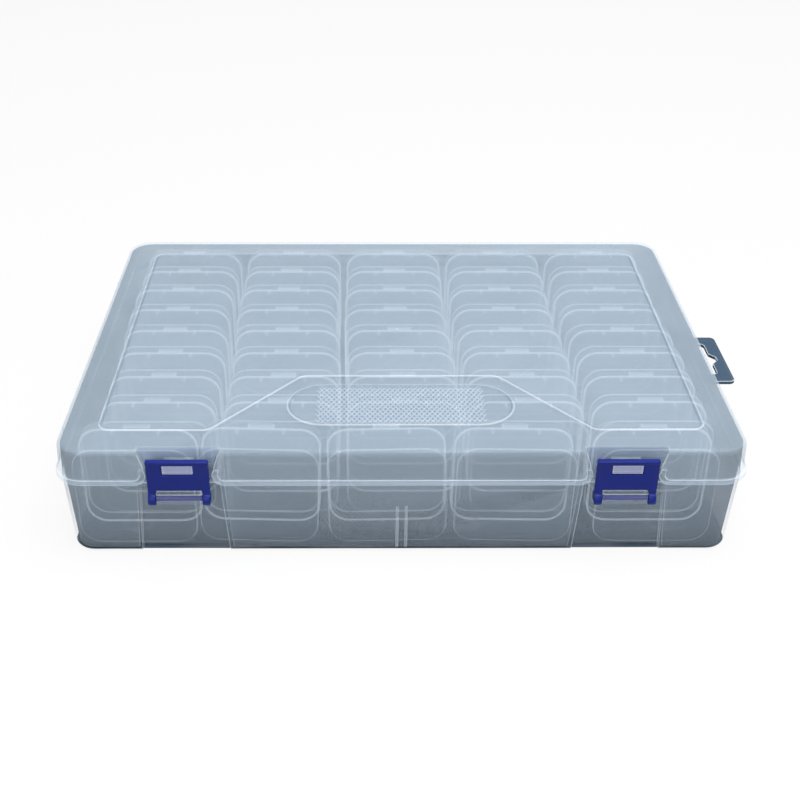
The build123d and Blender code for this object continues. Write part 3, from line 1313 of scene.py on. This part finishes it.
@dataclass
class Studio:
    """Pale floor, white surround, soft lamps and the camera."""

    image_size: float = 800.0
    focal_px: float = 1200.3
    principal_px: tuple[float, float] = (374.5, 361.24)
    camera_mm: Point = (-16.49, -543.76, 360.65)
    yaw: float = 0.0088
    pitch_down: float = 0.535
    roll: float = 0.0037
    sensor_mm: float = 36.0
    floor_size: float = 6.0
    floor_drop: float = 0.05 * MM
    floor_grey: float = 0.5
    floor_roughness: float = 0.8
    white_share: float = 0.88
    ambient: float = 0.34
    ambient_tint: Colour = (0.97, 0.985, 1.0)
    white: tuple[float, ...] = (1.0, 1.0, 1.0, 1.0)
    see_through_walls: int = 96
    lamps: tuple[tuple[str, Point, float, float], ...] = (
        ("Top lamp", (0.2, -0.2, 1.35), 1.3, 38.0),
        ("Front lamp", (-0.3, -1.4, 0.7), 1.0, 11.0),
    )

    def camera(self) -> None:
        """Place the camera."""
        data = bpy.data.cameras.new("Camera")
        data.sensor_width = self.sensor_mm
        data.lens = self.focal_px / self.image_size * self.sensor_mm
        data.shift_x = 0.5 - self.principal_px[0] / self.image_size
        data.shift_y = self.principal_px[1] / self.image_size - 0.5
        camera = bpy.data.objects.new("Camera", data)
        turn = (
            Matrix.Rotation(-self.yaw, 4, "Z")
            @ Matrix.Rotation(pi / 2 - self.pitch_down, 4, "X")
            @ Matrix.Rotation(self.roll, 4, "Z")
        )
        camera.matrix_world = Matrix.Translation(Vector(self.camera_mm) * MM) @ turn
        bpy.context.scene.collection.objects.link(camera)
        bpy.context.scene.camera = camera

    def floor(self) -> None:
        """Lay the pale floor under the case."""
        mesh = bpy.data.meshes.new("Floor")
        half = self.floor_size / 2
        low = -self.floor_drop
        corners = [(-half, -half, low), (half, -half, low), (half, half, low), (-half, half, low)]
        mesh.from_pydata(corners, [], [(0, 1, 2, 3)])
        floor = new_piece("Floor", mesh)
        material = bpy.data.materials.new("Pale floor")
        material.use_nodes = True
        graph = Graph(material.node_tree)
        shader = material.node_tree.nodes["Principled BSDF"]
        shader.inputs["Base Color"].default_value = (*[self.floor_grey] * 3, 1.0)
        shader.inputs["Roughness"].default_value = self.floor_roughness
        white = graph.add("ShaderNodeEmission", {"Color": self.white})
        shadow = graph.add(
            "ShaderNodeMixShader",
            {0: self.white_share, 1: shader.outputs[0], 2: white.outputs[0]},
        )
        path = graph.add("ShaderNodeLightPath").outputs
        seen = graph.math("MAXIMUM", path["Is Camera Ray"], path["Is Glossy Ray"])
        sides = {0: seen, 1: shader.outputs[0], 2: shadow.outputs[0]}
        mixed = graph.add("ShaderNodeMixShader", sides)
        output = material.node_tree.nodes["Material Output"]
        material.node_tree.links.new(mixed.outputs[0], output.inputs["Surface"])
        mesh.materials.append(material)

    def surround(self) -> None:
        """Light the scene softly from all round, and show white behind the object."""
        world = bpy.data.worlds.new("Surround")
        bpy.context.scene.world = world
        world.use_nodes = True
        graph = Graph(world.node_tree)
        background = world.node_tree.nodes["Background"]
        background.inputs["Color"].default_value = (*self.ambient_tint, 1.0)
        background.inputs["Strength"].default_value = self.ambient
        white = graph.add("ShaderNodeBackground", {"Color": self.white})
        path = graph.add("ShaderNodeLightPath").outputs
        seen = graph.math("MAXIMUM", path["Is Camera Ray"], path["Is Glossy Ray"])
        seen = graph.math("MAXIMUM", seen, path["Is Transmission Ray"])
        sides = {0: seen, 1: background.outputs[0], 2: white.outputs[0]}
        mixed = graph.add("ShaderNodeMixShader", sides)
        output = world.node_tree.nodes["World Output"]
        world.node_tree.links.new(mixed.outputs[0], output.inputs["Surface"])

    def lamp(self, name: str, place: Point, size: float, watts: float) -> None:
        """Hang a square soft lamp that looks at the middle of the case.

        Args:
            name: The lamp's name.
            place: Where it hangs, in metres.
            size: Its side, in metres.
            watts: Its power.
        """
        data = bpy.data.lights.new(name, "AREA")
        data.size = size
        data.energy = watts
        lamp = bpy.data.objects.new(name, data)
        lamp.location = place
        lamp.rotation_euler = (-Vector(place)).to_track_quat("-Z", "Y").to_euler()
        bpy.context.scene.collection.objects.link(lamp)

    def build(self) -> None:
        """Set the whole studio up."""
        scene = bpy.context.scene
        scene.view_settings.view_transform = "Standard"
        scene.cycles.transparent_max_bounces = self.see_through_walls
        scene.cycles.denoising_input_passes = "RGB"
        self.floor()
        self.surround()
        for lamp in self.lamps:
            self.lamp(*lamp)
        self.camera()


def main() -> None:
    """Build the object, a sub-assembly at a time."""
    logging.basicConfig(level=logging.INFO, format="%(message)s")
    finishes = make_finishes()
    CaseBase("case_base", Body.CASE, Slot.CASE).dress(finishes)
    CaseLid("case_lid", Body.LID, Slot.CASE).dress(finishes)
    for name, body in (("latch_left", Body.LATCH_LEFT), ("latch_right", Body.LATCH_RIGHT)):
        MouldedPart(name, body, Slot.LATCH).build(finishes["latch"], finishes["latch"])
    tree = row_tree()
    BoxRows().build(tree, finishes)
    for side in (-1, 1):
        CatchFace(side).build(finishes["catch"], finishes["shell_edge"])
    PAD.build(tree, finishes["stud"], finishes["small_edge"])
    GRIP.build(tree, finishes["floor"], finishes["shell_step"])
    MouldMarks().build(finishes["shell_step"])
    Studio().build()


if __name__ == "__main__":
    main()
